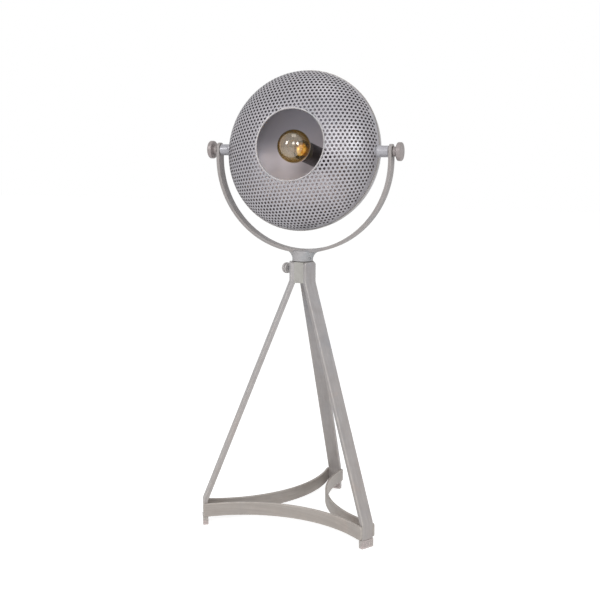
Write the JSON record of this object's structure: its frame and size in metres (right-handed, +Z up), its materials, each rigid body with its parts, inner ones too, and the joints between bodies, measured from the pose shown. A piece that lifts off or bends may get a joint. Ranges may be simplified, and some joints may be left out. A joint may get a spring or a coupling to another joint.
{
  "type": "tabletop searchlight lamp",
  "caption": "Tabletop searchlight lamp: a perforated round head with a bare globe bulb tilts in a U-shaped yoke that swivels on a flat-bar tripod with curved stretchers.",
  "frame": {"origin": "on the table top, under the vertical swivel axis", "axes": "+Z up; -Y is the front, where the head opens; the tilt axis lies along X"},
  "size_m": [0.2812, 0.2248, 0.6334],
  "materials": {
    "grey_paint": "worn satin warm grey lacquer with a metallic sheen, pinkish and greenish clouds, darker edges",
    "clear_pvc": "pinkish translucent soft plastic",
    "red_fibre": "pressed fibre",
    "dark_washer": "dark fibre",
    "dark_bronze": "dark bronze, satin",
    "black_moulding": "black moulding",
    "brass": "plain brass",
    "amber_glass": "amber tinted clear glass",
    "clear_glass": "clear glass",
    "filament": "fine dull wire",
    "plain_steel": "plain steel"
  },
  "bodies": {
    "tripod": {"foot_cap_front_left": "clear_pvc", "foot_cap_front_right": "clear_pvc", "foot_cap_rear": "clear_pvc", "hub_bush": "brass", "hub_core": "grey_paint", "leg_front_left": "grey_paint", "leg_front_right": "grey_paint", "leg_rear": "grey_paint", "stretcher_front": "grey_paint", "stretcher_left": "grey_paint", "stretcher_right": "grey_paint"},
    "clamp_pad": {"clamp_pad": "brass"},
    "swivel_screw": {"swivel_screw_stud": "plain_steel", "swivel_screw_knob": "grey_paint"},
    "yoke": {"yoke_strap": "grey_paint", "yoke_collar": "grey_paint", "yoke_spigot": "plain_steel", "collar_grub_screw": "plain_steel", "swivel_washer": "dark_washer"},
    "knob_washer_left": {"knob_washer_left": "dark_washer"},
    "knob_left": {"knob_left": "grey_paint", "knob_stud_left": "plain_steel"},
    "knob_washer_right": {"knob_washer_right": "dark_washer"},
    "knob_right": {"knob_right": "grey_paint", "knob_stud_right": "plain_steel"},
    "centre_contact": {"centre_contact": "brass"},
    "bulb": {"bulb_cap": "brass", "bulb_filament": "filament", "bulb_glass": "amber_glass", "bulb_insulator": "black_moulding", "bulb_stem": "clear_glass", "bulb_tip": "brass"},
    "head": {"aperture_ring": "grey_paint", "boss_left": "grey_paint", "boss_right": "grey_paint", "cable_gland": "dark_bronze", "friction_washer_left": "red_fibre", "friction_washer_right": "red_fibre", "front_dome": "grey_paint", "holder_cover": "dark_bronze", "holder_insert": "black_moulding", "holder_terminals": "brass", "holder_thread_shell": "brass", "nipple": "plain_steel", "nipple_nut_inner": "plain_steel", "nipple_nut_outer": "plain_steel", "rear_bowl": "grey_paint", "rim_band": "grey_paint"}
  },
  "joints": [
    {"name": "yoke_swivel", "type": "hinge", "parent": "tripod", "child": "yoke", "pos_m": [0, 0, 0.373], "axis": [0, 0, 1], "continuous": true},
    {"name": "head_tilt", "type": "hinge", "parent": "yoke", "child": "head", "pos_m": [0, 0, 0.525], "axis": [1, 0, 0], "range_deg": [-79.5, 100.5]},
    {"name": "knob_left_advance", "type": "slide", "parent": "head", "child": "knob_washer_left", "axis": [-1, 0, 0], "range_m": [0, 0.002]},
    {"name": "knob_left_turn", "type": "hinge", "parent": "knob_washer_left", "child": "knob_left", "pos_m": [0, 0, 0.525], "axis": [-1, 0, 0], "range_deg": [0, 720]},
    {"name": "knob_right_advance", "type": "slide", "parent": "head", "child": "knob_washer_right", "axis": [1, 0, 0], "range_m": [0, 0.002]},
    {"name": "knob_right_turn", "type": "hinge", "parent": "knob_washer_right", "child": "knob_right", "pos_m": [0, 0, 0.525], "axis": [1, 0, 0], "range_deg": [0, 720]},
    {"name": "clamp_pad_advance", "type": "slide", "parent": "tripod", "child": "clamp_pad", "axis": [-0.866, 0.5, 0], "range_m": [0, 0.002]},
    {"name": "swivel_screw_turn", "type": "hinge", "parent": "clamp_pad", "child": "swivel_screw", "pos_m": [0, 0, 0.36], "axis": [-0.866, 0.5, 0], "range_deg": [0, 720]},
    {"name": "contact_advance", "type": "slide", "parent": "head", "child": "centre_contact", "axis": [0, -0.9833, 0.1822], "range_m": [0, 0.00188]},
    {"name": "bulb_turn", "type": "hinge", "parent": "centre_contact", "child": "bulb", "pos_m": [0, 0, 0.525], "axis": [0, -0.9833, 0.1822], "range_deg": [0, 240]}
  ],
  "couplings": [
    {"joint": "knob_left_turn", "follows": "knob_left_advance", "rad_per_m": 6283.2},
    {"joint": "knob_right_turn", "follows": "knob_right_advance", "rad_per_m": 6283.2},
    {"joint": "swivel_screw_turn", "follows": "clamp_pad_advance", "rad_per_m": 6283.2},
    {"joint": "bulb_turn", "follows": "contact_advance", "rad_per_m": 2228.1}
  ]
}
